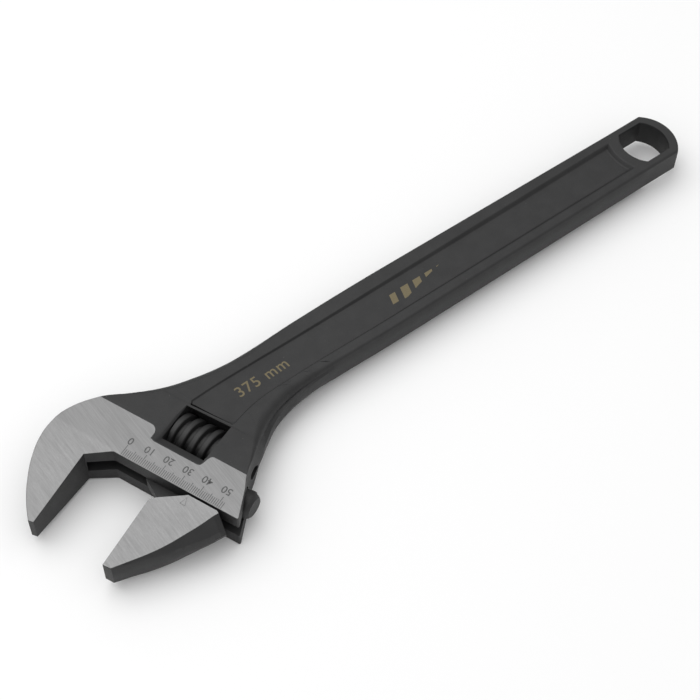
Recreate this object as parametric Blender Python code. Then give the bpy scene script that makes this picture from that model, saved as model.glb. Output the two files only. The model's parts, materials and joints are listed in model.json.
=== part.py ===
"""Adjustable wrench: forged body, sliding jaw with its rack, worm, worm pin and spring.

Lengths are in millimetres until MM turns them into Blender's metres.
Handle frame: x runs along the handle, y across it, z is height above the mid-plane.
Head frame: u runs along the slide from the fixed jaw to the moving jaw, w runs from the
slide face towards the handle, and (0, 0) is the corner of the fixed jaw and the slide.
"""
import math

import bmesh
import bpy
from mathutils import Matrix, Vector

MM = 0.001

# Overall placement: the wrench lies flat with its lowest face on z = 0.
CENTRE_X = 146.3
CENTRE_Y = -12.4
HEAD_TILT = 22.0          # degrees between the handle and the jaw faces
HANDLE_TO_CORNER = 12.1   # from the handle's axis to the head frame's corner

# Half thicknesses along w.
JAW_TIP_HALF = 6.5
HEAD_HALF = 11.55
HANDLE_HALF = 7.1
JAW_TIP_W = -44.6
GROUND_EDGE_W = 20.3      # where the head starts to thin towards the handle

# Head openings.
WINDOW_U = (24.0, 47.0)
WINDOW_W = (17.3, 39.7)
RACK_W = 13.5
RACK_RADIUS = 6.5
RACK_CLEARANCE = 0.35
RACK_START, RACK_END = 28.0, 74.6
RACK_BORE_START = -9.3
SLOT_HALF = 3.75
WEB_HALF = 3.4

# Worm, its pin and its spring.
WORM_W = 28.5
WORM_RADIUS = 10.0
WORM_ROOT = 7.6
WORM_BORE = 2.85
WORM_U = (24.5, 46.5)
LEAD = 5.5
CREST = 2.6
THREAD_SLOPE = 0.27       # growth of half the thread's width per unit of depth
PIN_RADIUS = 2.5
PIN_HEAD_RADIUS = 3.2
PIN_U = (12.6, 52.3, 63.0)
FIT_GAP = 0.35
SPRING_POCKET = (4.25, 6.0)
SPRING_WIRE = 0.4
SPRING_RADIUS = 3.4
SPRING_TURNS = 4

# Handle.
HOLE_X = 317.9
END_X = 315.9
PANEL_DEPTH = 1.6

# Frames as matrices.
HANDLE = Matrix.Translation(Vector((-CENTRE_X, -CENTRE_Y, HEAD_HALF)) * MM)
HEAD = (HANDLE @ Matrix.Translation((0, HANDLE_TO_CORNER * MM, 0))
        @ Matrix.Rotation(math.radians(HEAD_TILT - 90), 4, "Z"))
ALONG_U = Matrix(((0, 0, 1, 0), (1, 0, 0, 0), (0, 1, 0, 0), (0, 0, 0, 1)))


def clear_scene():
    for item in list(bpy.data.objects):
        bpy.data.objects.remove(item, do_unlink=True)


def new_collection(name):
    group = bpy.data.collections.new(name)
    bpy.context.scene.collection.children.link(group)
    return group


def material(name, colour, roughness, metallic):
    made = bpy.data.materials.new(name)
    made.use_nodes = True
    shader = made.node_tree.nodes["Principled BSDF"]
    shader.inputs["Base Color"].default_value = (*colour, 1.0)
    shader.inputs["Roughness"].default_value = roughness
    shader.inputs["Metallic"].default_value = metallic
    return made


def add_object(name, mesh, group, frame=None):
    made = bpy.data.objects.new(name, mesh)
    if frame is not None:
        made.matrix_world = frame
    group.objects.link(made)
    if group.name == "cutters":
        made.hide_render = True
        made.display_type = "WIRE"
    return made


def prism(name, points, half, group, frame, steps=6):
    """Flat outline, with corners marked "c" and smooth points "s", thickened both ways."""
    curve = bpy.data.curves.new(name, "CURVE")
    curve.dimensions = "2D"
    curve.fill_mode = "BOTH"
    curve.extrude = half * MM
    curve.resolution_u = steps
    spline = curve.splines.new("BEZIER")
    spline.bezier_points.add(len(points) - 1)
    spline.use_cyclic_u = True
    for knot, (x, y, kind) in zip(spline.bezier_points, points):
        knot.co = (x * MM, y * MM, 0)
        handle = "VECTOR" if kind == "c" else "AUTO"
        knot.handle_left_type = knot.handle_right_type = handle
    source = bpy.data.objects.new(name + "_outline", curve)
    bpy.context.scene.collection.objects.link(source)
    bpy.context.view_layer.update()
    seen = source.evaluated_get(bpy.context.evaluated_depsgraph_get())
    mesh = bpy.data.meshes.new_from_object(seen)
    bpy.data.objects.remove(source, do_unlink=True)
    shape = bmesh.new()
    shape.from_mesh(mesh)
    bmesh.ops.remove_doubles(shape, verts=shape.verts, dist=0.00001)
    bmesh.ops.dissolve_limit(shape, angle_limit=0.002, verts=shape.verts, edges=shape.edges)
    bmesh.ops.recalc_face_normals(shape, faces=shape.faces)
    shape.to_mesh(mesh)
    shape.free()
    return add_object(name, mesh, group, frame)


def cylinder(name, radius, start, end, w, group, segments=32):
    """Round bar along u, at mid-height, w from the slide face."""
    shape = bmesh.new()
    bmesh.ops.create_cone(shape, cap_ends=True, segments=segments, radius1=radius * MM,
                          radius2=radius * MM, depth=(end - start) * MM)
    mesh = bpy.data.meshes.new(name)
    shape.to_mesh(mesh)
    shape.free()
    place = Matrix.Translation(Vector(((start + end) / 2, w, 0)) * MM)
    return add_object(name, mesh, group, HEAD @ place @ ALONG_U)


def boolean(target, other, operation="DIFFERENCE"):
    step = target.modifiers.new(other.name, "BOOLEAN")
    step.operation = operation
    step.object = other
    step.solver = "EXACT"


def settle(target):
    """Turn an object's modifiers into its mesh, so that its helpers can be removed."""
    bpy.context.view_layer.update()
    seen = target.evaluated_get(bpy.context.evaluated_depsgraph_get())
    mesh = bpy.data.meshes.new_from_object(seen)
    shape = bmesh.new()
    shape.from_mesh(mesh)
    bmesh.ops.remove_doubles(shape, verts=shape.verts, dist=0.000005)
    bmesh.ops.dissolve_degenerate(shape, dist=0.000005, edges=shape.edges)
    shape.to_mesh(mesh)
    shape.free()
    target.modifiers.clear()
    target.data = mesh


def finish(target, surface, angle=35):
    settle(target)
    target.data.materials.clear()
    target.data.materials.append(surface)
    target.data.shade_smooth()
    target.data.set_sharp_from_angle(angle=math.radians(angle))


def thickness_blank(name, group):
    """Everything between the two faces: tapered jaws, flat head and thinner handle."""
    jaw_slope = (HEAD_HALF - JAW_TIP_HALF) / (1.0 - JAW_TIP_W)
    side = [(-60, HEAD_HALF - 61 * jaw_slope), (1.0, HEAD_HALF), (GROUND_EDGE_W, HEAD_HALF), (32, 10.75),
            (48, 9.1), (64, 7.95), (82, 7.3), (100, HANDLE_HALF), (350, HANDLE_HALF)]
    points = [(w, z, "c") for w, z in side] + [(w, -z, "c") for w, z in reversed(side)]
    return prism(name, points, 150, group, HEAD @ ALONG_U)


def body_outline(to_handle):
    """Fixed jaw, throat, slide, head side, neck and handle, as one closed outline."""
    head = [(0, -44.4, "c"), (0, -7.5, "c"), (9.7, -0.5, "c"), (10.5, 0, "c"), (75.6, 0, "c"),
            (74.4, 3.2, "c"), (69.8, 14.5, "c")]
    lower = [(44.3, -41.8), (52.5, -35.3), (61.5, -28.2), (72, -21.6), (84, -17.6), (97, -16.0)]
    handle_low = [(112, -15.8, "s"), (145, -16.1, "s"), (200, -15.7, "s"), (311.0, -14.8, "c")]
    radius = 19.1
    rounded = []
    for step in range(13):
        angle = math.radians(-52 + 104 * step / 12)
        rounded.append((END_X + radius * math.cos(angle), radius * math.sin(angle), "c"))
    handle_top = [(311.0, 14.8, "c"), (200, 15.7, "s"), (145, 16.1, "s"), (108, 15.3, "s"),
                  (83, 14.6, "s"), (68, 15.1, "s"), (54, 17.0, "s"), (40, 20.1, "s"),
                  (27, 24.6, "s"), (14, 30.4, "s")]
    jaw = [(-20.0, 7.3, "s"), (-22.0, -0.6, "s"), (-22.1, -9.0, "s"), (-19.6, -18.8, "s"),
           (-14.3, -29.7, "s"), (-8.6, -38.1, "s"), (-2.6, -44.9, "c")]
    points = [to_handle(u, w) + (kind,) for u, w, kind in head]
    points += [(x, y, "s") for x, y in lower] + handle_low + rounded + handle_top
    return points + [to_handle(u, w) + (kind,) for u, w, kind in jaw]


def from_head(u, w):
    tilt = math.radians(HEAD_TILT)
    return (u * math.sin(tilt) + w * math.cos(tilt),
            HANDLE_TO_CORNER - u * math.cos(tilt) + w * math.sin(tilt))


def panel_cutter(group):
    """Long shallow recess in both faces of the handle, open into the worm window."""
    edge = [(40.5, 7.3, "c"), (54, 5.6, "c"), (66, 6.4, "s"), (150, 7.9, "c"), (303, 9.9, "c"),
            (301.4, 4.6, "s"), (301.0, 0, "s"), (301.4, -4.6, "s"), (303, -9.9, "c"),
            (150, -10.4, "s"), (88, -10.7, "s"), (70, -12.4, "s"), (56, -15.4, "c"), (45.5, -20.5, "c")]
    plan = prism("panel_plan", edge, 20, group, HANDLE)
    floor = [(25, 10.6), (32, 10.15), (48, 8.45), (64, 7.1), (82, 6.2), (110, 5.75),
             (180, HANDLE_HALF - PANEL_DEPTH), (350, HANDLE_HALF - PANEL_DEPTH)]
    above = [(w, z, "c") for w, z in floor] + [(350, 20, "c"), (25, 20, "c")]
    cutters = []
    for side, flip in (("top", 1), ("bottom", -1)):
        points = [(w, z * flip, kind) for w, z, kind in above]
        region = prism("panel_" + side, points, 150, group, HEAD @ ALONG_U)
        boolean(region, plan, "INTERSECT")
        settle(region)
        cutters.append(region)
    bpy.data.objects.remove(plan, do_unlink=True)
    return cutters


def hang_hole(group):
    """Barrel-shaped hole: two straight sides and two round ends."""
    points = []
    for turn in (0, 180):
        for step in range(9):
            angle = math.radians(turn - 44 + 88 * step / 8)
            shift = -3.7 if turn == 0 else 3.7
            points.append((HOLE_X + shift + 15.2 * math.cos(angle), 15.2 * math.sin(angle), "c"))
    return prism("hang_hole", points, 20, group, HANDLE)


def make_body(group, cutters, surface):
    body = prism("body", body_outline(from_head), HEAD_HALF + 2, group, HANDLE)
    boolean(body, thickness_blank("body_thickness", cutters), "INTERSECT")
    (left, right), (near, far) = WINDOW_U, WINDOW_W
    corner = 1.0
    window = [(left, near, "c"), (right - corner, near, "c"), (right, near + corner, "c"),
              (right, far, "c"), (left + corner, far, "c"), (left, far - corner, "c")]
    slot = [(90, -8, "c"), (90, RACK_W, "c"), (RACK_BORE_START, RACK_W, "c"),
            (RACK_BORE_START, 6, "c"), (-10.9, 3.5, "c"), (-10.9, -0.9, "c"), (0.4, -7.3, "c"),
            (0.4, -12, "c"), (12, -12, "c"), (16, -8, "c")]
    boolean(body, prism("worm_window", window, 20, cutters, HEAD))
    boolean(body, prism("rack_slot", slot, SLOT_HALF, cutters, HEAD))
    rack_bore = RACK_RADIUS + RACK_CLEARANCE
    boolean(body, cylinder("rack_bore", rack_bore, RACK_BORE_START, 95, RACK_W, cutters))
    first, shoulder = PIN_U[:2]
    boolean(body, cylinder("pin_bore", PIN_RADIUS + FIT_GAP, first - FIT_GAP, 62, WORM_W, cutters))
    boolean(body, cylinder("pin_mouth", PIN_HEAD_RADIUS + FIT_GAP, shoulder - FIT_GAP, 80,
                           WORM_W, cutters))
    boolean(body, hang_hole(cutters))
    for cutter in panel_cutter(cutters):
        boolean(body, cutter)
    finish(body, surface)
    return body


def rack_teeth(group):
    """Comb that cuts the rack's gashes where the worm's thread lies at rest."""
    depth_top, depth_low = RACK_W + RACK_RADIUS + 1.0, WORM_W - WORM_RADIUS - 0.4
    middle = (WORM_U[0] + WORM_U[1]) / 2
    points = []
    first = math.ceil((RACK_START - 1 - middle) / LEAD)
    last = math.floor((RACK_END - middle) / LEAD)
    for tooth in range(first, last + 1):
        at = middle + tooth * LEAD
        root = CREST / 2 + FIT_GAP
        mouth = root + (depth_top - depth_low) * THREAD_SLOPE
        points += [(at - mouth, depth_top, "c"), (at - root, depth_low, "c"),
                   (at + root, depth_low, "c"), (at + mouth, depth_top, "c")]
    points += [(points[-1][0], depth_top + 2, "c"), (points[0][0], depth_top + 2, "c")]
    return prism("rack_gashes", points, 12, group, HEAD)


def make_jaw(group, cutters, surface):
    outline = [(36.9, -45.5, "c"), (36.9, -10.8, "c"), (39.5, -8.6, "c"), (49.1, -2.0, "c"),
               (50.2, -1.0, "c"), (65.6, -1.0, "c"), (66.7, -1.3, "c"), (65.1, -4.3, "c"),
               (62.8, -10.1, "s"), (59.5, -16.7, "s"), (56.3, -23.2, "s"), (51.4, -31.2, "s"),
               (46.1, -38.3, "s"), (40.7, -45.2, "c")]
    jaw = prism("moving_jaw", outline, HEAD_HALF + 2, group, HEAD)
    boolean(jaw, thickness_blank("jaw_thickness", cutters), "INTERSECT")
    web = [(60, -9, "c"), (60, -2, "c"), (64.5, 0, "c"), (64.5, RACK_W, "c"),
           (RACK_START + 1, RACK_W, "c"), (RACK_START + 1, 6, "c"), (27.2, 3.0, "c"),
           (27.2, -0.3, "c"), (37.6, -6.2, "c"), (42, -9, "c")]
    boolean(jaw, prism("web", web, WEB_HALF, cutters, HEAD), "UNION")
    rack = cylinder("rack", RACK_RADIUS, RACK_START, RACK_END, RACK_W, cutters, 40)
    boolean(jaw, rack, "UNION")
    boolean(jaw, rack_teeth(cutters))
    finish(jaw, surface)
    return jaw


def thread_ridge(group):
    """One helical ridge, swept past both ends of the worm by half a turn."""
    steps, turns = 28, 6
    sink = WORM_ROOT - 0.6
    shape = bmesh.new()
    wide = CREST / 2 + (WORM_RADIUS - sink) * THREAD_SLOPE
    rise = WORM_RADIUS + 0.5
    crest = CREST / 2 - 0.5 * THREAD_SLOPE
    profile = [(sink, -wide), (rise, -crest), (rise, crest), (sink, wide)]
    rings = []
    for step in range(steps * turns + 1):
        turn = 2 * math.pi * step / steps
        along = (step / steps - turns / 2) * LEAD
        rings.append([shape.verts.new(Vector((r * math.cos(turn), r * math.sin(turn),
                                              -(along + offset))) * MM)
                      for r, offset in profile])
    for near, far in zip(rings, rings[1:]):
        for side in range(4):
            following = (side + 1) % 4
            shape.faces.new((near[side], near[following], far[following], far[side]))
    shape.faces.new(rings[0][::-1])
    shape.faces.new(rings[-1])
    bmesh.ops.recalc_face_normals(shape, faces=shape.faces)
    mesh = bpy.data.meshes.new("thread_ridge")
    shape.to_mesh(mesh)
    shape.free()
    middle = Vector(((WORM_U[0] + WORM_U[1]) / 2, WORM_W, 0)) * MM
    face_rack = Matrix.Rotation(math.radians(180), 4, "Z")
    return add_object("thread_ridge", mesh, group,
                      HEAD @ Matrix.Translation(middle) @ ALONG_U @ face_rack)


def make_worm(group, cutters, surface):
    start, end = WORM_U
    worm = cylinder("worm", WORM_ROOT, start, end, WORM_W, group, 40)
    boolean(worm, thread_ridge(cutters), "UNION")
    boolean(worm, cylinder("worm_trim", WORM_RADIUS, start, end, WORM_W, cutters, 56), "INTERSECT")
    boolean(worm, cylinder("worm_bore", WORM_BORE, start - 5, end + 5, WORM_W, cutters, 24))
    radius, depth = SPRING_POCKET
    boolean(worm, cylinder("spring_pocket", radius, start - 5, start + depth, WORM_W, cutters, 28))
    finish(worm, surface, 28)
    return worm


def make_pin(group, cutters, surface):
    first, shoulder, last = PIN_U
    pin = cylinder("worm_pin", PIN_RADIUS, first, shoulder + 2, WORM_W, group, 24)
    head = cylinder("pin_head", PIN_HEAD_RADIUS, shoulder, last, WORM_W, cutters, 24)
    boolean(pin, head, "UNION")
    slot = [(last - 1.2, WORM_W - 5, "c"), (last + 3, WORM_W - 5, "c"),
            (last + 3, WORM_W + 5, "c"), (last - 1.2, WORM_W + 5, "c")]
    boolean(pin, prism("pin_slot", slot, 0.5, cutters, HEAD))
    finish(pin, surface)
    return pin


def make_spring(group, surface):
    """Small coil round the pin, in the pocket in the worm's end."""
    low = WINDOW_U[0] + 0.3 + SPRING_WIRE
    high = WORM_U[0] + SPRING_POCKET[1] - 0.3 - SPRING_WIRE
    curve = bpy.data.curves.new("worm_spring", "CURVE")
    curve.dimensions = "3D"
    curve.bevel_depth = SPRING_WIRE * MM
    curve.bevel_resolution = 2
    curve.use_fill_caps = True
    around = 14
    total = SPRING_TURNS * around
    spline = curve.splines.new("POLY")
    spline.points.add(total)
    for index, point in enumerate(spline.points):
        turn = 2 * math.pi * index / around
        along = low + (high - low) * index / total
        point.co = (along * MM, (WORM_W + SPRING_RADIUS * math.cos(turn)) * MM,
                    SPRING_RADIUS * math.sin(turn) * MM, 1)
    source = bpy.data.objects.new("spring_wire", curve)
    bpy.context.scene.collection.objects.link(source)
    bpy.context.view_layer.update()
    seen = source.evaluated_get(bpy.context.evaluated_depsgraph_get())
    mesh = bpy.data.meshes.new_from_object(seen)
    bpy.data.objects.remove(source, do_unlink=True)
    spring = add_object("worm_spring", mesh, group, HEAD)
    finish(spring, surface)
    return spring


def move_origin(target, frame):
    """Put an object's origin on its joint's axis, with its shape left where it is."""
    target.data.transform(frame.inverted() @ target.matrix_world)
    target.matrix_world = frame


def main():
    clear_scene()
    parts = new_collection("adjustable_wrench")
    cutters = new_collection("cutters")
    black = material("phosphate_black", (0.045, 0.045, 0.047), 0.6, 0.5)
    jaw_steel = material("ground_steel", (0.32, 0.32, 0.32), 0.4, 0.9)
    dark = material("worm_black", (0.03, 0.03, 0.032), 0.5, 0.5)
    pin_steel = material("pin_steel", (0.06, 0.06, 0.06), 0.45, 0.7)
    spring_steel = material("spring_steel", (0.4, 0.4, 0.4), 0.35, 1.0)
    body = make_body(parts, cutters, black)
    jaw = make_jaw(parts, cutters, jaw_steel)
    worm = make_worm(parts, cutters, dark)
    pin = make_pin(parts, cutters, pin_steel)
    spring = make_spring(parts, spring_steel)
    rack_axis = HEAD @ Matrix.Translation(Vector((RACK_END, RACK_W, 0)) * MM)
    worm_axis = HEAD @ Matrix.Translation(Vector((sum(WORM_U) / 2, WORM_W, 0)) * MM)
    move_origin(jaw, rack_axis)
    move_origin(worm, worm_axis)
    move_origin(pin, worm_axis)
    move_origin(spring, worm_axis)
    move_origin(body, HANDLE)


main()
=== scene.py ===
import json
import math

import bmesh
import bpy
from mathutils import Matrix, Vector


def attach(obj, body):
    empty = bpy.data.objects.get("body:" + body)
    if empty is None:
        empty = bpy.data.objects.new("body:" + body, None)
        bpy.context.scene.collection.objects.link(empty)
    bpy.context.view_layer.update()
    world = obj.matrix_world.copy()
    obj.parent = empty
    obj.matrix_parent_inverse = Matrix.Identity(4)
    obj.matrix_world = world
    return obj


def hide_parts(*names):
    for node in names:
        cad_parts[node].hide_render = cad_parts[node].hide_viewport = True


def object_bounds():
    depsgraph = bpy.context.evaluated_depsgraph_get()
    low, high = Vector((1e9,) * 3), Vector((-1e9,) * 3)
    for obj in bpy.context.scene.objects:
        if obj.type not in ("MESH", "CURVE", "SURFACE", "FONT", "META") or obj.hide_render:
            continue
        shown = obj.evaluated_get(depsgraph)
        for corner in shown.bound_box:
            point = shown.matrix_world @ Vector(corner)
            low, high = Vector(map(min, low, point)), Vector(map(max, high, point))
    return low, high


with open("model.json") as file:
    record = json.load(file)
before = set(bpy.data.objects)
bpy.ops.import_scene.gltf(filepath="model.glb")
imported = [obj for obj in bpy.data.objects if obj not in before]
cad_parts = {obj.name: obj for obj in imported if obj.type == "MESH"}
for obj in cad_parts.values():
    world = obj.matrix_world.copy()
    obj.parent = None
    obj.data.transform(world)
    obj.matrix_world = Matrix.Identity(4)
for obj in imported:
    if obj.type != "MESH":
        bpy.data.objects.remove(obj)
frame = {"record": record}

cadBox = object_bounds()
mm = 0.001

joints = {joint["name"]: joint for joint in frame["record"]["behaviour"]["joints"]}
slideWay = Vector(joints["jaw_slide"]["axis"]).normalized()      # fixed jaw to moving jaw
depthWay = Vector((-slideWay.y, slideWay.x, 0))                  # slide face to handle
wormMiddle = Vector(joints["worm_spin"]["pos_m"])
wormAt = {"u": 35.5, "w": 28.5, "start": 24.5, "end": 46.5}
cornerAt = wormMiddle - slideWay * wormAt["u"] * mm - depthWay * wormAt["w"] * mm
rackW = 13.5                                                     # slide face to the rack's axis
handleDrop = 12.1                                                # corner to the handle's axis
headSpace = Matrix.Translation(cornerAt) @ Matrix((
    (slideWay.x, depthWay.x, 0, 0), (slideWay.y, depthWay.y, 0, 0), (0, 0, 1, 0), (0, 0, 0, 1)))
handleSpace = Matrix.Translation(cornerAt - Vector((0, handleDrop * mm, 0)))
headToHandle = handleSpace.inverted() @ headSpace
alongSlide = Matrix(((0, 0, 1, 0), (1, 0, 0, 0), (0, 1, 0, 0), (0, 0, 0, 1)))

thick = {"jawTip": 6.45, "head": 11.5, "handle": 7.05, "tipW": -44.6, "flatFrom": 1.0,
         "flatTo": 20.3, "thinAt": 104.0}


def smooth(low, high, value):
    t = min(1.0, max(0.0, (value - low) / (high - low)))
    return t * t * (3 - 2 * t)


# Half the wrench's thickness at a distance w from the slide face
def halfThickness(w):
    if w < thick["flatFrom"]:
        slope = (thick["head"] - thick["jawTip"]) / (thick["flatFrom"] - thick["tipW"])
        return thick["head"] - slope * (thick["flatFrom"] - w)
    if w < thick["flatTo"]:
        return thick["head"]
    t = min(1.0, (w - thick["flatTo"]) / (thick["thinAt"] - thick["flatTo"]))
    return thick["handle"] + (thick["head"] - thick["handle"]) * (1 - t) ** 2 * (1 + 0.55 * t)


# w of a point given in the handle's space, in millimetres
def depthOf(point):
    return (headToHandle.inverted() @ Vector(point)).y / mm


def fromHead(u, w):
    place = headToHandle @ Vector((u * mm, w * mm, 0))
    return place.x / mm, place.y / mm


def meshObject(name, shape, space=None, surfaces=()):
    mesh = bpy.data.meshes.new(name)
    if space is not None:
        shape.transform(space)
    shape.to_mesh(mesh)
    shape.free()
    for surface in surfaces:
        mesh.materials.append(surface)
    made = bpy.data.objects.new(name, mesh)
    bpy.context.scene.collection.objects.link(made)
    return made


def evaluated(made):
    bpy.context.view_layer.update()
    seen = made.evaluated_get(bpy.context.evaluated_depsgraph_get())
    return bpy.data.meshes.new_from_object(seen)


# Bake the modifiers into the mesh
def settle(made):
    mesh = evaluated(made)
    made.modifiers.clear()
    surfaces = list(made.data.materials)
    made.data = mesh
    if not mesh.materials:
        for surface in surfaces:
            mesh.materials.append(surface)


def drop(*things):
    for thing in things:
        bpy.data.objects.remove(thing, do_unlink=True)


# Collapse the slivers that many cuts leave behind
def cleanUp(made, size=0.02):
    shape = bmesh.new()
    shape.from_mesh(made.data)
    bmesh.ops.dissolve_degenerate(shape, dist=size * mm, edges=shape.edges)
    bmesh.ops.dissolve_limit(shape, angle_limit=math.radians(0.12), verts=shape.verts,
                             edges=shape.edges, delimit={"MATERIAL"})
    print(made.name, "open edges", sum(not edge.is_manifold for edge in shape.edges))
    shape.to_mesh(made.data)
    shape.free()


def boolean(made, other, how="DIFFERENCE"):
    step = made.modifiers.new("cut", "BOOLEAN")
    step.operation = how
    step.solver = "MANIFOLD"
    step.object = other
    settle(made)
    drop(other)


# Flat outline of corners "c" and smooth points "s", pulled out both ways, as a bmesh
def flatShape(points, half, steps=10):
    curve = bpy.data.curves.new("outline", "CURVE")
    curve.dimensions = "2D"
    curve.fill_mode = "BOTH"
    curve.extrude = half * mm
    curve.resolution_u = steps
    spline = curve.splines.new("BEZIER")
    spline.bezier_points.add(len(points) - 1)
    spline.use_cyclic_u = True
    for knot, (x, y, kind) in zip(spline.bezier_points, points):
        knot.co = (x * mm, y * mm, 0)
        knot.handle_left_type = knot.handle_right_type = "VECTOR" if kind == "c" else "AUTO"
    holder = bpy.data.objects.new("outline", curve)
    bpy.context.scene.collection.objects.link(holder)
    mesh = evaluated(holder)
    drop(holder)
    shape = bmesh.new()
    shape.from_mesh(mesh)
    bmesh.ops.remove_doubles(shape, verts=shape.verts, dist=0.000005)
    bmesh.ops.dissolve_limit(shape, angle_limit=0.0015, verts=shape.verts, edges=shape.edges)
    bmesh.ops.recalc_face_normals(shape, faces=shape.faces)
    return shape


# Cut a shape across at each w, so that its faces can follow a curved thickness
def slices(shape, inverse, stations):
    across = inverse @ Vector((0, 1, 0, 0))
    across = Vector(across[:3]).normalized()
    for w in stations:
        at = inverse @ Vector((0, w * mm, 0))
        bmesh.ops.bisect_plane(shape, geom=shape.verts[:] + shape.edges[:] + shape.faces[:],
                               plane_co=at, plane_no=across)


# Round bar along the slide, at mid-height
def bar(radius, start, end, w, segments=48):
    shape = bmesh.new()
    bmesh.ops.create_cone(shape, cap_ends=True, segments=segments, radius1=radius * mm,
                          radius2=radius * mm, depth=(end - start) * mm)
    place = Matrix.Translation(Vector(((start + end) / 2, w, 0)) * mm)
    shape.transform(place @ alongSlide)
    return shape


def edgeRounding(made, width, segments=2, angle=30):
    step = made.modifiers.new("edges", "BEVEL")
    step.width = width * mm
    step.segments = segments
    step.limit_method = "ANGLE"
    step.angle_limit = math.radians(angle)
    step.miter_outer = "MITER_ARC"
    step.harden_normals = False
    step.use_clamp_overlap = True


def smoothLook(made, angle=32):
    made.data.shade_smooth()
    made.data.set_sharp_from_angle(angle=math.radians(angle))
    step = made.modifiers.new("normals", "WEIGHTED_NORMAL")
    step.keep_sharp = True
    step.weight = 60


def newMaterial(name):
    made = bpy.data.materials.new(name)
    made.use_nodes = True
    tree = made.node_tree
    return made, tree, tree.nodes["Principled BSDF"]


def place(tree, scale=(1, 1, 1), turn=0.0):
    where = tree.nodes.new("ShaderNodeTexCoord")
    mapping = tree.nodes.new("ShaderNodeMapping")
    mapping.inputs["Scale"].default_value = scale
    mapping.inputs["Rotation"].default_value = (0, 0, turn)
    tree.links.new(where.outputs["Object"], mapping.inputs["Vector"])
    return mapping.outputs["Vector"]


def noise(tree, vector, scale, detail=4.0, roughness=0.55):
    made = tree.nodes.new("ShaderNodeTexNoise")
    made.inputs["Scale"].default_value = scale
    made.inputs["Detail"].default_value = detail
    made.inputs["Roughness"].default_value = roughness
    tree.links.new(vector, made.inputs["Vector"])
    return made.outputs["Fac"]


def spread(tree, value, fromLow, fromHigh, toLow, toHigh):
    made = tree.nodes.new("ShaderNodeMapRange")
    made.inputs["From Min"].default_value = fromLow
    made.inputs["From Max"].default_value = fromHigh
    made.inputs["To Min"].default_value = toLow
    made.inputs["To Max"].default_value = toHigh
    tree.links.new(value, made.inputs["Value"])
    return made.outputs["Result"]


def blendColour(tree, amount, first, second):
    made = tree.nodes.new("ShaderNodeMix")
    made.data_type = "RGBA"
    for socket, value in ((made.inputs[6], first), (made.inputs[7], second)):
        if isinstance(value, tuple):
            socket.default_value = (*value, 1)
        else:
            tree.links.new(value, socket)
    if isinstance(amount, float):
        made.inputs[0].default_value = amount
    else:
        tree.links.new(amount, made.inputs[0])
    return made.outputs[2]


def bump(tree, height, strength, distance, under=None):
    made = tree.nodes.new("ShaderNodeBump")
    made.inputs["Strength"].default_value = strength
    made.inputs["Distance"].default_value = distance
    tree.links.new(height, made.inputs["Height"])
    if under is not None:
        tree.links.new(under, made.inputs["Normal"])
    return made.outputs["Normal"]


blackFinish = {"dark": (0.0095, 0.0095, 0.0098), "light": (0.0140, 0.0140, 0.0143),
               "speck": (0.075, 0.075, 0.075), "roughLow": 0.50, "roughHigh": 0.66}


wormFinish = {"dark": (0.007, 0.007, 0.0072), "light": (0.012, 0.012, 0.012),
              "speck": (0.05, 0.05, 0.05), "roughLow": 0.46, "roughHigh": 0.62}


def makeBlack(name, finish, grain=1.0):
    made, tree, shader = newMaterial(name)
    where = place(tree)
    broad = noise(tree, where, 130, 3)
    fine = noise(tree, where, 2600 * grain, 3, 0.7)
    pits = noise(tree, where, 900 * grain, 2, 0.6)
    base = blendColour(tree, spread(tree, broad, 0.35, 0.65, 0, 1), finish["dark"], finish["light"])
    specks = spread(tree, pits, 0.74, 0.79, 0, 1)
    base = blendColour(tree, specks, base, finish["speck"])
    tree.links.new(base, shader.inputs["Base Color"])
    tree.links.new(spread(tree, fine, 0.3, 0.7, finish["roughLow"], finish["roughHigh"]),
                   shader.inputs["Roughness"])
    first = bump(tree, fine, 0.35, 0.00006)
    tree.links.new(bump(tree, broad, 0.15, 0.0004, first), shader.inputs["Normal"])
    return made


groundFinish = {"dark": (0.185, 0.185, 0.185), "light": (0.25, 0.25, 0.25), "roughLow": 0.40,
                "roughHigh": 0.50, "lines": 14000, "stretch": 0.012, "streak": (0.17, 0.17, 0.17),
                "patch": (0.20, 0.20, 0.20)}


# Surface-ground steel, with fine lines straight across the handle
def makeGround(name, finish):
    made, tree, shader = newMaterial(name)
    lines = place(tree, (1, finish["stretch"], 1))
    fine = noise(tree, lines, finish["lines"], 2, 0.6)
    coarse = noise(tree, place(tree, (1, 0.02, 1), 0.05), 1700, 3, 0.6)
    broad = noise(tree, place(tree), 55, 2)
    tone = blendColour(tree, spread(tree, fine, 0.3, 0.7, 0, 1), finish["dark"], finish["light"])
    tone = blendColour(tree, spread(tree, coarse, 0.35, 0.8, 0, 0.5), tone, finish["streak"])
    tone = blendColour(tree, spread(tree, broad, 0.35, 0.7, 0, 0.25), tone, finish["patch"])
    tree.links.new(tone, shader.inputs["Base Color"])
    shader.inputs["Metallic"].default_value = 0.9
    tree.links.new(spread(tree, coarse, 0.3, 0.7, finish["roughLow"], finish["roughHigh"]),
                   shader.inputs["Roughness"])
    first = bump(tree, fine, 0.25, 0.00002)
    tree.links.new(bump(tree, coarse, 0.2, 0.00005, first), shader.inputs["Normal"])
    return made


# Etched or printed mark with an uneven tone
def makeInk(name, first, second, rough, scale=1500):
    made, tree, shader = newMaterial(name)
    grain = noise(tree, place(tree), scale, 3, 0.7)
    tone = blendColour(tree, spread(tree, grain, 0.3, 0.7, 0, 1), first, second)
    tree.links.new(tone, shader.inputs["Base Color"])
    tree.links.new(spread(tree, grain, 0.3, 0.7, rough, rough + 0.15), shader.inputs["Roughness"])
    return made


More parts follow.
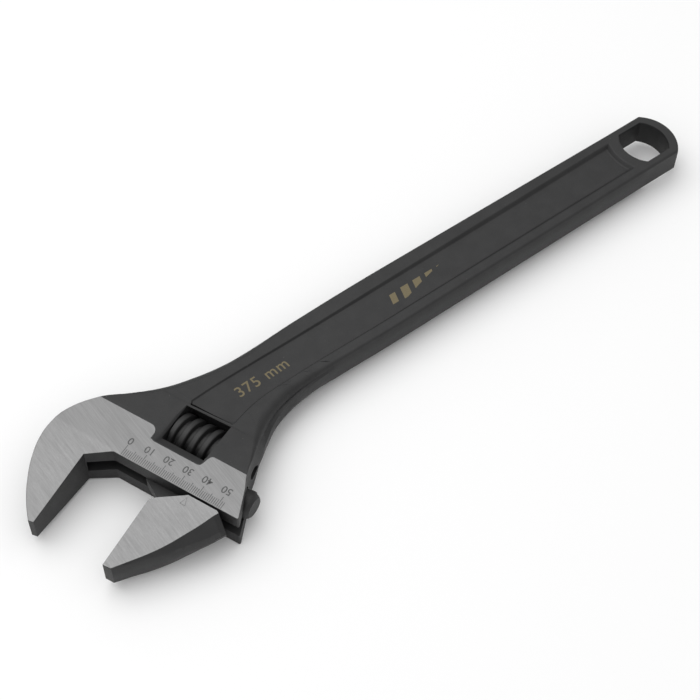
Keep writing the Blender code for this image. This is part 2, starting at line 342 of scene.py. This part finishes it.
def makeSteel(name, low, high, rough):
    made, tree, shader = newMaterial(name)
    where = place(tree)
    patches = noise(tree, where, 300, 4, 0.6)
    scratches = noise(tree, place(tree, (1, 0.1, 0.1), 1.2), 3000, 2)
    tone = blendColour(tree, spread(tree, patches, 0.3, 0.7, 0, 1), low, high)
    tree.links.new(tone, shader.inputs["Base Color"])
    shader.inputs["Metallic"].default_value = 0.85
    tree.links.new(spread(tree, patches, 0.3, 0.7, rough, rough + 0.2), shader.inputs["Roughness"])
    tree.links.new(bump(tree, scratches, 0.25, 0.00003), shader.inputs["Normal"])
    return made


phosphate = makeBlack("phosphateBlack", blackFinish)
groundSteel = makeGround("groundSteel", groundFinish)
wormBlack = makeBlack("wormBlack", wormFinish, 1.4)
etched = makeInk("etchedMark", (0.045, 0.045, 0.045), (0.085, 0.085, 0.085), 0.55)
gold = makeInk("goldMark", (0.115, 0.093, 0.048), (0.155, 0.126, 0.066), 0.55)
pinSteel = makeSteel("pinSteel", (0.05, 0.05, 0.05), (0.10, 0.10, 0.10), 0.35)
springSteel = makeSteel("springSteel", (0.35, 0.35, 0.36), (0.5, 0.5, 0.5), 0.22)
print("materials made")

bodyShape = {"edgeHead": 0.30, "edgeNeck": 4.6, "edgeHandle": 1.5, "widest": 5.0, "bulge": 0.55,
             "neckBulge": 1.2,
             "endRadius": 19.0, "endX": 315.9, "holeX": 317.9, "holeArc": 15.2, "relief": 0.14}


def bodyOutline():
    head = [(0, -44.4, "c"), (0, -7.5, "c"), (9.7, -0.6, "c"), (10.8, 0, "c"), (74.9, 0, "c"),
            (75.4, 0.6, "c"),
            (74.4, 3.2, "c"), (69.8, 14.5, "c")]
    low = [(44.3, -41.8, "s"), (52.5, -35.3, "s"), (61.5, -28.2, "s"), (72, -21.6, "s"),
           (84, -17.6, "s"), (97, -16.0, "s"), (112, -15.6, "s"), (145, -15.8, "s"),
           (200, -15.5, "s"), (308.0, -14.75, "c")]
    ring = []
    for step in range(25):
        angle = math.radians(-51 + 102 * step / 24)
        ring.append((bodyShape["endX"] + bodyShape["endRadius"] * math.cos(angle),
                     bodyShape["endRadius"] * math.sin(angle), "c"))
    high = [(308.0, 14.75, "c"), (200, 15.5, "s"), (145, 15.8, "s"), (108, 15.2, "s"),
            (83, 14.6, "s"), (68, 15.1, "s"), (54, 17.0, "s"), (40, 20.1, "s"),
            (27, 24.6, "s"), (14, 30.4, "s")]
    jaw = [(-20.0, 7.3, "s"), (-22.0, -0.6, "s"), (-22.1, -9.0, "s"), (-19.6, -18.8, "s"),
           (-14.3, -29.7, "s"), (-8.6, -38.1, "s"), (-2.6, -44.9, "c")]
    return ([(*fromHead(u, w), kind) for u, w, kind in head] + low + ring + high
            + [(*fromHead(u, w), kind) for u, w, kind in jaw])


# Radius of the forged edge: crisp on the head, wide on the neck, small on the handle
def edgeSize(x, w, upper):
    neck = smooth(20.5, 46 if upper else 52, w)
    handle = smooth(62, 104, w)
    size = bodyShape["edgeHead"] + (bodyShape["edgeNeck"] - bodyShape["edgeHead"]) * neck
    return size + (bodyShape["edgeHandle"] - size) * handle


# Solid forging before any machining: outline, curved thickness, rounded edges; its sides are pushed out
# afterwards by fullSides
def forgedBlank():
    shape = flatShape(bodyOutline(), 10, 12)
    stations = [-30, -15, thick["flatFrom"]] + [thick["flatTo"] + 3 * step for step in range(29)]
    stations += [120, 150, 180, 210, 240, 270]
    slices(shape, headToHandle, stations)
    layer = shape.edges.layers.float.new("bevel_weight_edge")
    for edge in shape.edges:
        flat = [abs(face.normal.z) > 0.9 for face in edge.link_faces]
        if len(flat) == 2 and flat[0] != flat[1]:
            middle = (edge.verts[0].co + edge.verts[1].co) / 2
            size = edgeSize(middle.x / mm, depthOf(middle), middle.y > 0)
            edge[layer] = size / bodyShape["widest"]
    for vert in shape.verts:
        vert.co.z = math.copysign(halfThickness(depthOf(vert.co)) * mm, vert.co.z)
    for face in shape.faces:
        top = abs(face.normal.z) > 0.9 and depthOf(face.calc_center_median()) < thick["flatTo"]
        face.material_index = 1 if top else 0
    blank = meshObject("body", shape, handleSpace, (phosphate, groundSteel))
    rounding = blank.modifiers.new("forged", "BEVEL")
    rounding.limit_method = "WEIGHT"
    rounding.width = bodyShape["widest"] * mm
    rounding.segments = 5
    rounding.use_clamp_overlap = False
    settle(blank)
    return blank


# Push the middle of a forging's sides out a little, towards its parting line
def fullSides(blank, rings, push):
    shape = bmesh.new()
    shape.from_mesh(blank.data)
    back = headSpace.inverted()
    for height, share in rings:
        cut = bmesh.ops.bisect_plane(
            shape, geom=shape.verts[:] + shape.edges[:] + shape.faces[:],
            plane_co=headSpace @ Vector((0, 0, height * mm)), plane_no=(0, 0, 1))
        shape.normal_update()
        ring = [item for item in cut["geom_cut"] if isinstance(item, bmesh.types.BMVert)]
        moves = []
        for vert in ring:
            move = push(back @ vert.co / mm, back.to_3x3() @ vert.normal)
            moves.append((vert, headSpace.to_3x3() @ move * share * mm))
        for vert, move in moves:
            vert.co += move
    shape.to_mesh(blank.data)
    shape.free()


def bodyBulge(at, facing):
    flat = Vector((facing.x, facing.y, 0))
    if at.y < 24 or flat.length < 0.3:
        return Vector()
    along = (headToHandle @ (at * mm)).x / mm
    amount = bodyShape["bulge"] * smooth(24, 60, at.y) * (1 - smooth(296, 308, along))
    if facing.x > 0.2:
        amount += bodyShape["neckBulge"] * smooth(24, 38, at.y) * (1 - smooth(60, 100, at.y))
    return flat.normalized() * amount


# Thin layer taken off round the ground pads, so that they stand just proud
def reliefCutter(side):
    edge = [(-60, 20.3, "c"), (15.6, 20.3, "c"), (17.9, 20.1, "s"), (19.6, 18.9, "s"),
            (20.4, 17.3, "s"), (21.0, 14.9, "s"), (21.7, 13.7, "s"), (23.0, 13.4, "c"),
            (45.2, 13.4, "c"), (46.6, 13.9, "s"), (47.3, 15.3, "s"), (48.1, 18.3, "s"),
            (49.0, 19.9, "s"), (50.8, 20.5, "c"), (65.2, 20.5, "c"), (67.2, 21.2, "s"),
            (69.5, 24, "c"), (100, 24, "c"), (100, 62, "c"), (-60, 62, "c")]
    shape = flatShape(edge, 4, 5)
    low = thick["head"] - bodyShape["relief"] + 4
    shape.transform(Matrix.Translation((0, 0, low * side * mm)))
    return meshObject("relief", shape, headSpace)


thumb = {"near": 13.9, "nearDrop": 0.1, "edge": 18.6, "edgeDrop": 2.6, "left": 20.5, "right": 46.7,
         "window": 24.5, "round": 4.7}


# Sloped strip beside the scale and the rounded thumb side of the worm window, meeting in a mitre
def thumbCutter(side):
    top = thick["head"]
    low, high = 2.0, top + 3                  # the cutter's own depth and height
    strip = [(thumb["near"], top - thumb["nearDrop"]), (thumb["edge"], top - thumb["edgeDrop"]),
             (thumb["edge"], low), (38.8, low), (38.8, high), (thumb["near"], high)]
    near = flatShape([(w, z * side, "c") for w, z in strip], 15, 1)
    near.transform(Matrix.Translation(Vector((thumb["right"] - 15, 0, 0)) * mm) @ alongSlide)
    reach = math.asin((thumb["window"] - thumb["left"]) / thumb["round"])
    curve = []
    for step in range(10):
        angle = reach * step / 9
        curve.append((thumb["left"] + thumb["round"] * math.sin(angle),
                      top - thumb["round"] * (1 - math.cos(angle))))
    curve += [(thumb["window"], low), (48, low), (48, high), (thumb["left"], high)]
    across = flatShape([(u, z * side, "c") for u, z in curve], 15, 1)
    across.transform(Matrix.Translation(Vector((0, 27, 0)) * mm)
                     @ Matrix.Rotation(math.pi / 2, 4, "X"))
    cutter = meshObject("thumbCut", near, headSpace, (phosphate,))
    boolean(cutter, meshObject("thumbSide", across, headSpace, (phosphate,)),
            "INTERSECT")
    return cutter


panel = {"rim": 0.8, "deep": 1.95, "draftHead": 0.6, "draftEnd": 1.7,
         "wall": {-3: (1.35, 0.0), -2: (1.05, 0.06), -1: (0.85, 0.22), 0: (0.25, 0.8),
                  1: (0.0, 0.96), 2: (-0.3, 1.04), 3: (-0.6, 1.6)}}


# Height of the recessed panel's floor above the mid-plane
def panelFloor(w):
    depth = panel["rim"] + (panel["deep"] - panel["rim"]) * smooth(40, 260, w) ** 0.8
    return halfThickness(w) - depth


def panelCutter(side):
    outline = [(46.4, 5.0, "c"), (54, 5.7, "s"), (66, 6.5, "s"), (150, 8.1, "c"),
               (303, 10.0, "c"), (301.4, 4.8, "s"), (301.0, 0, "s"), (301.4, -4.8, "s"),
               (303, -10.0, "c"), (150, -10.5, "s"), (88, -10.8, "s"), (70, -12.4, "s"),
               (54.6, -16.7, "c"), (52.4, -13.0, "c"), (45.0, 3.0, "c")]
    shape = flatShape(outline, 6, 8)
    for level in (-4, -2, 0, 2, 4):
        bmesh.ops.bisect_plane(shape, geom=shape.verts[:] + shape.edges[:] + shape.faces[:],
                               plane_co=(0, 0, level * mm), plane_no=(0, 0, 1))
    slices(shape, headToHandle, [30 + 6 * step for step in range(14)] + [140, 180, 220, 260])
    shape.normal_update()
    outwards = {}
    for vert in shape.verts:
        walls = [face.normal for face in vert.link_faces if abs(face.normal.z) < 0.5]
        outward = sum(walls, Vector()).normalized()
        outwards[vert] = outward / max(0.4, outward.dot(walls[0]))
    for vert, outward in outwards.items():
        w = depthOf(vert.co)
        draft = panel["draftHead"] + (panel["draftEnd"] - panel["draftHead"]) * smooth(
            60, 260, vert.co.x / mm)
        depth = halfThickness(w) - panelFloor(w)
        level = round(vert.co.z / mm / 2)
        share, rise = panel["wall"][level]
        vert.co -= outward * draft * share * mm
        vert.co.z = (panelFloor(w) + depth * rise) * mm
    if side < 0:
        bmesh.ops.scale(shape, vec=(1, 1, -1), verts=shape.verts)
        bmesh.ops.reverse_faces(shape, faces=shape.faces)
    return meshObject("panelCut", shape, handleSpace)


window = {"left": 24, "right": 47, "near": 17.5, "far": 39.5}
slot = {"half": 3.75, "inner": -9.3, "outer": 90, "corner": -10.9}
bores = {"rack": 6.85, "rackEnd": 95, "pin": 2.8, "pinFrom": 12.2, "pinTo": 62, "mouth": 3.5,
         "mouthFrom": 52, "mouthTo": 80}


def windowCutter():
    left, right, near, far = window["left"], window["right"], window["near"], window["far"]
    outline = [(left, near, "c"), (right - 1, near, "c"), (right - 0.2, near + 0.5, "s"),
               (right, near + 1.5, "c"), (right, far, "c"), (left + 2, far, "c"),
               (left + 0.6, far - 0.6, "s"), (left, far - 2, "c")]
    return meshObject("windowCut", flatShape(outline, 16, 4), headSpace)


def slotCutter():
    inner, outer, corner = slot["inner"], slot["outer"], slot["corner"]
    outline = [(outer, -8, "c"), (outer, rackW, "c"), (inner, rackW, "c"), (inner, 6, "c"),
               (corner, 3.5, "c"), (corner, -0.9, "c"), (0.4, -7.3, "c"), (0.4, -12, "c"),
               (12, -12, "c"), (16, -8, "c")]
    return meshObject("slotCut", flatShape(outline, slot["half"], 2), headSpace)


def holeCutter():
    points = []
    for turn in (0, 180):
        for step in range(21):
            angle = math.radians(turn - 44.5 + 89 * step / 20)
            shift = -3.7 if turn == 0 else 3.7
            points.append((bodyShape["holeX"] + shift + bodyShape["holeArc"] * math.cos(angle),
                           bodyShape["holeArc"] * math.sin(angle), "c"))
    shape = flatShape(points, 12, 1)
    for height in (-7.4, -6.2, 0, 6.2, 7.4):
        bmesh.ops.bisect_plane(shape, geom=shape.verts[:] + shape.edges[:] + shape.faces[:],
                               plane_co=(0, 0, height * mm), plane_no=(0, 0, 1))
    middle = Vector((bodyShape["holeX"] * mm, 0, 0))
    for vert in shape.verts:
        height = abs(vert.co.z) / mm
        flare = 1.0 if height > 7 else 0.28 * (height > 6)
        outward = Vector((vert.co.x, vert.co.y, 0)) - middle
        vert.co += outward.normalized() * (flare - 0.45) * mm
    return meshObject("holeCut", shape, handleSpace)


def makeBody():
    body = forgedBlank()
    fullSides(body, ((-3.6, 0.72), (0, 1.0), (3.6, 0.72)), bodyBulge)
    boolean(body, windowCutter())
    for side in (1, -1):
        boolean(body, reliefCutter(side))
        boolean(body, thumbCutter(side))
        boolean(body, panelCutter(side))
    boolean(body, holeCutter())
    boolean(body, slotCutter())
    rack = bar(bores["rack"], slot["inner"], bores["rackEnd"], rackW, 64)
    boolean(body, meshObject("rackCut", rack, headSpace))
    pin = bar(bores["pin"], bores["pinFrom"], bores["pinTo"], wormAt["w"], 32)
    boolean(body, meshObject("pinCut", pin, headSpace))
    mouth = bar(bores["mouth"], bores["mouthFrom"], bores["mouthTo"], wormAt["w"], 40)
    boolean(body, meshObject("mouthCut", mouth, headSpace))
    cleanUp(body)
    edgeRounding(body, 0.16, 2, 34)
    settle(body)
    smoothLook(body, 30)
    return body


body = makeBody()
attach(body, "body")
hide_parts("body")
print("body made", len(body.data.polygons))

jawShape = {"web": 3.4, "rack": 6.5, "rackStart": 28.0, "rackEnd": 74.6,
            "lead": 5.5, "crest": 2.6, "slope": 0.27, "gap": 0.35,
            "endRings": ((2.4, 1.0), (1.5, 0.96), (0.7, 0.88), (0, 0.74)),
            "bulge": 2.7, "tipBulge": 0.7}


def jawBlank():
    outline = [(36.9, -45.4, "c"), (36.9, -10.8, "c"), (39.5, -8.6, "c"), (49.3, -2.0, "c"),
               (50.6, -1.0, "c"), (65.4, -1.0, "c"), (66.6, -1.6, "c"), (65.4, -3.8, "c"),
               (62.8, -10.1, "s"), (59.5, -16.9, "s"), (55.9, -24.0, "s"), (51.4, -31.2, "s"),
               (46.1, -38.3, "s"), (40.8, -45.1, "c")]
    shape = flatShape(outline, 10, 12)
    slices(shape, Matrix.Identity(4), [-30, -15])
    for vert in shape.verts:
        vert.co.z = math.copysign(halfThickness(vert.co.y / mm) * mm, vert.co.z)
    for face in shape.faces:
        face.material_index = 1 if abs(face.normal.z) > 0.9 else 0
    return meshObject("moving_jaw_forging", shape, headSpace, (phosphate, groundSteel))


def jawBulge(at, facing):
    outward = Vector((0.86, -0.51, 0))
    if facing.dot(outward) < 0.6:
        return Vector()
    return outward * (jawShape["tipBulge"] + (jawShape["bulge"] - jawShape["tipBulge"])
                      * smooth(-38, -3, at.y))


# Round bar of the rack, with its free end narrowed in steps
def rackBar():
    shape = bar(jawShape["rack"], jawShape["rackStart"], jawShape["rackEnd"], rackW, 72)
    for back, share in jawShape["endRings"]:
        at = (jawShape["rackEnd"] - back) * mm
        if back > 0:
            bmesh.ops.bisect_plane(shape, geom=shape.verts[:] + shape.edges[:] + shape.faces[:],
                                   plane_co=(at, 0, 0), plane_no=(1, 0, 0))
        for vert in shape.verts:
            if abs(vert.co.x - at) < 0.01 * mm:
                vert.co.y = rackW * mm + (vert.co.y - rackW * mm) * share
                vert.co.z *= share
    return meshObject("rack", shape, headSpace)


def rackComb():
    top = rackW + jawShape["rack"] + 1.0
    low = wormAt["w"] - 10.0 - 0.4
    root = jawShape["crest"] / 2 + jawShape["gap"]
    mouth = root + (top - low) * jawShape["slope"]
    points = []
    first = math.ceil((jawShape["rackStart"] - 1 - wormAt["u"]) / jawShape["lead"])
    last = math.floor((jawShape["rackEnd"] - wormAt["u"]) / jawShape["lead"])
    for tooth in range(first, last + 1):
        at = wormAt["u"] + tooth * jawShape["lead"]
        points += [(at - mouth, top, "c"), (at - root, low, "c"), (at + root, low, "c"),
                   (at + mouth, top, "c")]
    points += [(points[-1][0], top + 2, "c"), (points[0][0], top + 2, "c")]
    return meshObject("rackComb", flatShape(points, 12, 1), headSpace)


def makeJaw():
    jaw = jawBlank()
    fullSides(jaw, ((-6.2, 0.72), (-3, 0.94), (0, 1.0), (3, 0.94), (6.2, 0.72)), jawBulge)
    web = [(60, -9, "c"), (60, -2, "c"), (64.5, 0, "c"), (64.5, 13.5, "c"), (29, 13.5, "c"),
           (29, 6, "c"), (27.4, 3.0, "c"), (27.4, -0.3, "c"), (37.6, -6.2, "c"), (42, -9, "c")]
    boolean(jaw, meshObject("web", flatShape(web, jawShape["web"], 2), headSpace), "UNION")
    boolean(jaw, rackBar(), "UNION")
    boolean(jaw, rackComb())
    edgeRounding(jaw, 0.26, 3, 32)
    settle(jaw)
    smoothLook(jaw, 30)
    return jaw


jaw = makeJaw()
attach(jaw, "jaw")
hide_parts("moving_jaw")
print("moving jaw made", len(jaw.data.polygons))

wormShape = {"radius": 10.0, "root": 7.6, "bore": 2.85, "pocket": 4.25, "pocketDepth": 6.0,
             "steps": 48, "turns": 6}


def makeWorm():
    core = bar(wormShape["root"], wormAt["start"], wormAt["end"], wormAt["w"], 72)
    worm = meshObject("thumb_worm", core, headSpace, (wormBlack,))
    lead = jawShape["lead"]
    sink = wormShape["root"] - 0.6
    wide = jawShape["crest"] / 2 + (wormShape["radius"] - sink) * jawShape["slope"]
    shape = bmesh.new()
    corners = [(sink, -wide), (wormShape["radius"] - 0.25, -jawShape["crest"] / 2 - 0.05),
               (wormShape["radius"] + 0.02, -jawShape["crest"] / 2 + 0.35),
               (wormShape["radius"] + 0.02, jawShape["crest"] / 2 - 0.35),
               (wormShape["radius"] - 0.25, jawShape["crest"] / 2 + 0.05), (sink, wide)]
    start = wormShape["turns"] / 2 * lead
    ring = [shape.verts.new(Vector((radius, 0, start + along)) * mm) for radius, along in corners]
    first = shape.faces.new(ring)
    steps = wormShape["steps"] * wormShape["turns"]
    bmesh.ops.spin(shape, geom=[first, *first.edges, *ring], cent=(0, 0, 0), axis=(0, 0, 1),
                   dvec=(0, 0, -lead / wormShape["steps"] * mm),
                   angle=2 * math.pi * wormShape["turns"], steps=steps)
    bmesh.ops.remove_doubles(shape, verts=shape.verts, dist=0.000001)
    bmesh.ops.holes_fill(shape, edges=[e for e in shape.edges if e.is_boundary], sides=0)
    bmesh.ops.recalc_face_normals(shape, faces=shape.faces)
    print("thread closed", all(e.is_manifold for e in shape.edges))
    facing = Matrix.Translation(Vector((wormAt["u"], wormAt["w"], 0)) * mm) @ alongSlide
    facing = facing @ Matrix.Rotation(math.pi, 4, "Z")
    shape.transform(facing)
    boolean(worm, meshObject("thread", shape, headSpace), "UNION")
    trim = bar(wormShape["radius"] + 0.1, wormAt["start"], wormAt["end"], wormAt["w"], 96)
    boolean(worm, meshObject("trim", trim, headSpace), "INTERSECT")
    bore = bar(wormShape["bore"], wormAt["start"] - 5, wormAt["end"] + 5, wormAt["w"], 40)
    boolean(worm, meshObject("bore", bore, headSpace))
    pocket = bar(wormShape["pocket"], wormAt["start"] - 5,
                 wormAt["start"] + wormShape["pocketDepth"], wormAt["w"], 40)
    boolean(worm, meshObject("pocket", pocket, headSpace))
    edgeRounding(worm, 0.15, 2, 40)
    settle(worm)
    smoothLook(worm, 34)
    return worm


worm = makeWorm()
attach(worm, "worm")
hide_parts("worm")

pinShape = {"radius": 2.5, "head": 3.15, "start": 12.6, "shoulder": 52.3, "end": 62.9}


def makePin():
    shank = bar(pinShape["radius"], pinShape["start"], pinShape["shoulder"] + 2, wormAt["w"], 40)
    pin = meshObject("pin_screw", shank, headSpace, (pinSteel,))
    head = bar(pinShape["head"], pinShape["shoulder"], pinShape["end"], wormAt["w"], 48)
    boolean(pin, meshObject("pinHead", head, headSpace), "UNION")
    low, high = wormAt["w"] - 5, wormAt["w"] + 5
    slot = [(pinShape["end"] - 1.3, low, "c"), (pinShape["end"] + 3, low, "c"),
            (pinShape["end"] + 3, high, "c"), (pinShape["end"] - 1.3, high, "c")]
    boolean(pin, meshObject("pinSlot", flatShape(slot, 0.5, 1), headSpace))
    edgeRounding(pin, 0.2, 3, 40)
    settle(pin)
    smoothLook(pin)
    return pin


pin = makePin()
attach(pin, "body")
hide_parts("worm_pin")

springShape = {"wire": 0.4, "radius": 3.4, "turns": 4, "low": 24.7, "high": 29.8, "around": 36}


def makeSpring():
    shape = bmesh.new()
    ring = bmesh.ops.create_circle(shape, cap_ends=True, radius=springShape["wire"] * mm,
                                   segments=12)["verts"]
    upright = Matrix.Translation((springShape["radius"] * mm, 0, 0)) @ Matrix.Rotation(
        math.pi / 2, 4, "X")
    bmesh.ops.transform(shape, matrix=upright, verts=ring)
    rise = (springShape["high"] - springShape["low"]) / (springShape["turns"]
                                                         * springShape["around"])
    bmesh.ops.spin(shape, geom=shape.verts[:] + shape.edges[:] + shape.faces[:], cent=(0, 0, 0),
                   axis=(0, 0, 1), dvec=(0, 0, rise * mm),
                   angle=2 * math.pi * springShape["turns"],
                   steps=springShape["turns"] * springShape["around"])
    bmesh.ops.remove_doubles(shape, verts=shape.verts, dist=0.000001)
    bmesh.ops.holes_fill(shape, edges=[e for e in shape.edges if e.is_boundary], sides=0)
    bmesh.ops.recalc_face_normals(shape, faces=shape.faces)
    shape.transform(Matrix.Translation(Vector((springShape["low"], wormAt["w"], 0)) * mm)
                    @ alongSlide)
    spring = meshObject("play_spring", shape, headSpace, (springSteel,))
    spring.data.shade_smooth()
    return spring


spring = makeSpring()
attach(spring, "body")
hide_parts("worm_spring")
print("worm, pin and spring made")

marks = {"lift": 0.02, "zeroAt": 14.2, "count": 52, "tick": 0.33, "short": 3.5, "five": 4.4,
         "ten": 5.5, "from": 0.45, "numberW": 8.35, "numberRise": 0.02, "numberHigh": 3.5,
         "numberWeight": 0.045}
pointerShape = {"radius": 2.67, "narrow": 0.6, "line": 0.3, "u": 50.9, "w": -4.7}
sizeText = {"words": "375 mm", "high": 5.6, "weight": 0.05, "spacing": 1.12, "x": 79.8, "y": -2.6,
            "turn": 3.5}
stripes = {"count": 7, "first": 156.4, "step": 7.3, "y": -1.7, "lean": 0.32, "inner": (4.4, 6.4),
           "outer": (3.4, 5.4)}


def scaleTicks(shape):
    top = halfThickness(10)
    for number in range(marks["count"] + 1):
        long = marks["short"]
        if number % 10 == 0:
            long = marks["ten"]
        elif number % 5 == 0:
            long = marks["five"]
        middle = Vector((marks["zeroAt"] + number, marks["from"] + long / 2, top)) * mm
        size = Vector((marks["tick"], long, 2 * marks["lift"])) * mm
        bmesh.ops.create_cube(shape, size=1, matrix=Matrix.Translation(middle)
                              @ Matrix.Diagonal((*size, 1)))


# Plain words or numbers as a bmesh, centred, reading along +X with +Y up
def textShape(words, high, extrude, weight=0.0, spacing=1.0):
    text = bpy.data.curves.new("words", "FONT")
    text.body = words
    text.size = high / 0.69 * mm
    text.extrude = extrude * mm
    text.offset = weight * mm
    text.space_character = spacing
    text.align_x = "CENTER"
    text.align_y = "CENTER"
    text.resolution_u = 4
    holder = bpy.data.objects.new("words", text)
    bpy.context.scene.collection.objects.link(holder)
    mesh = evaluated(holder)
    drop(holder)
    shape = bmesh.new()
    shape.from_mesh(mesh)
    bmesh.ops.remove_doubles(shape, verts=shape.verts, dist=0.000001)
    return shape


def addTo(shape, other):
    mesh = bpy.data.meshes.new("part")
    other.to_mesh(mesh)
    other.free()
    shape.from_mesh(mesh)


def makeScale():
    shape = bmesh.new()
    scaleTicks(shape)
    for number in range(0, marks["count"], 10):
        digits = textShape(str(number), marks["numberHigh"], marks["lift"], marks["numberWeight"])
        at = Vector((marks["zeroAt"] + 0.992 * number, marks["numberW"] + marks["numberRise"] * number,
                     halfThickness(10))) * mm
        digits.transform(Matrix.Translation(at) @ Matrix.Rotation(math.pi, 4, "Z"))
        addTo(shape, digits)
    return meshObject("scale_marks", shape, headSpace, (etched,))


# Engraved triangle on the moving jaw that reads the scale
def makePointer():
    shape = bmesh.new()
    bmesh.ops.create_circle(shape, cap_ends=True, radius=pointerShape["radius"] * mm,
                            segments=3)
    bmesh.ops.scale(shape, vec=(pointerShape["narrow"], 1, 1), verts=shape.verts)
    rim = bmesh.ops.inset_region(shape, faces=shape.faces[:], use_boundary=True,
                                 thickness=pointerShape["line"] * mm)["faces"]
    bmesh.ops.delete(shape, geom=[face for face in shape.faces if face not in rim],
                     context="FACES_ONLY")
    bmesh.ops.solidify(shape, geom=shape.faces[:], thickness=2 * marks["lift"] * mm)
    bmesh.ops.recalc_face_normals(shape, faces=shape.faces)
    middle = sum(vert.co.z for vert in shape.verts) / len(shape.verts)
    at = Vector((pointerShape["u"], pointerShape["w"], halfThickness(pointerShape["w"]))) * mm
    at.z -= middle
    slope = math.atan((halfThickness(0) - halfThickness(-10)) / 10)
    shape.transform(Matrix.Translation(at) @ Matrix.Rotation(slope, 4, "X"))
    return meshObject("pointer_mark", shape, headSpace, (etched,))


# Lay a flat mark, given in the handle's space, on the curved floor of the panel
def onFloor(shape):
    slices(shape, headToHandle, [60 + 2 * step for step in range(24)] + [150, 170, 190])
    for vert in shape.verts:
        vert.co.z += panelFloor(depthOf(vert.co)) * mm


def makeSizeMark():
    shape = textShape(sizeText["words"], sizeText["high"], marks["lift"], sizeText["weight"],
                      sizeText["spacing"])
    shape.transform(Matrix.Translation(Vector((sizeText["x"], sizeText["y"], 0)) * mm)
                    @ Matrix.Rotation(math.radians(sizeText["turn"]), 4, "Z"))
    onFloor(shape)
    return meshObject("size_mark", shape, handleSpace, (gold,))


# Plain slanted bars, gold like the size mark
def makeStripes():
    shape = bmesh.new()
    for number in range(stripes["count"]):
        wide, high = stripes["outer" if number in (0, stripes["count"] - 1) else "inner"]
        size = Vector((wide, high, 2 * marks["lift"])) * mm
        middle = Vector((stripes["first"] + stripes["step"] * number, stripes["y"], 0)) * mm
        bmesh.ops.create_cube(shape, size=1, matrix=Matrix.Translation(middle)
                              @ Matrix.Diagonal((*size, 1)))
    for vert in shape.verts:
        vert.co.x += (vert.co.y + 1.6 * mm) * stripes["lean"]
    onFloor(shape)
    return meshObject("stripe_mark", shape, handleSpace, (gold,))


scaleMarks, pointer, sizeMark, stripeMark = makeScale(), makePointer(), makeSizeMark(), makeStripes()
for piece, rider, finish in ((scaleMarks, "body", "phosphate_black"), (pointer, "jaw", "ground_steel"),
                             (sizeMark, "body", "phosphate_black"),
                             (stripeMark, "body", "phosphate_black")):
    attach(piece, rider)
print("marks made")

studio = {"horizon": 0.18, "zenith": 1.15, "key": 9.0, "fill": 1.5, "floor": (0.88, 0.88, 0.88)}


# Soft white dome, bright overhead and dimmer towards the horizon
def makeSky():
    sky = bpy.data.worlds.new("studio")
    bpy.context.scene.world = sky
    sky.use_nodes = True
    tree = sky.node_tree
    where = tree.nodes.new("ShaderNodeTexCoord")
    split = tree.nodes.new("ShaderNodeSeparateXYZ")
    tree.links.new(where.outputs["Generated"], split.inputs["Vector"])
    background = tree.nodes["Background"]
    background.inputs["Color"].default_value = (1, 1, 1, 1)
    tree.links.new(spread(tree, split.outputs["Z"], 0.0, 1.0, studio["horizon"], studio["zenith"]),
                   background.inputs["Strength"])


def makeFloor():
    shape = bmesh.new()
    bmesh.ops.create_grid(shape, x_segments=1, y_segments=1, size=6)
    made, tree, shader = newMaterial("paleFloor")
    shader.inputs["Base Color"].default_value = (*studio["floor"], 1)
    shader.inputs["Roughness"].default_value = 0.9
    shader.inputs["Specular IOR Level"].default_value = 0.1
    shape.transform(Matrix.Translation((0, 0, cadBox[0].z - 0.0002)))
    floor = meshObject("floor", shape, None, (made,))


def makeLight(name, spot, size, power):
    light = bpy.data.lights.new(name, "AREA")
    light.shape = "DISK"
    light.size = size
    light.energy = power
    lamp = bpy.data.objects.new(name, light)
    bpy.context.scene.collection.objects.link(lamp)
    lamp.location = spot
    lamp.rotation_euler = (-Vector(spot)).to_track_quat("-Z", "Y").to_euler()


def makeCamera():
    view = {"place": Vector((-0.28802, -0.33667, 0.63138)), "aim": Vector((-0.02208, 0.00242, 0.01155)),
            "roll": 1.272, "lens": 83.58}
    data = bpy.data.cameras.new("camera")
    data.lens = view["lens"]
    data.sensor_width = 36
    data.clip_start = 0.01
    camera = bpy.data.objects.new("camera", data)
    bpy.context.scene.collection.objects.link(camera)
    camera.location = view["place"]
    facing = (view["aim"] - view["place"]).to_track_quat("-Z", "Y").to_matrix()
    camera.rotation_euler = (facing @ Matrix.Rotation(math.radians(view["roll"]), 3, "Z")).to_euler()
    bpy.context.scene.camera = camera


makeFloor()
makeLight("key", (-0.25, 0.55, 1.4), 1.6, studio["key"])
makeLight("fill", (-1.1, -0.4, 0.9), 1.4, studio["fill"])
makeSky()
bpy.context.scene.view_settings.view_transform = "Standard"
makeCamera()

print("scene ready")
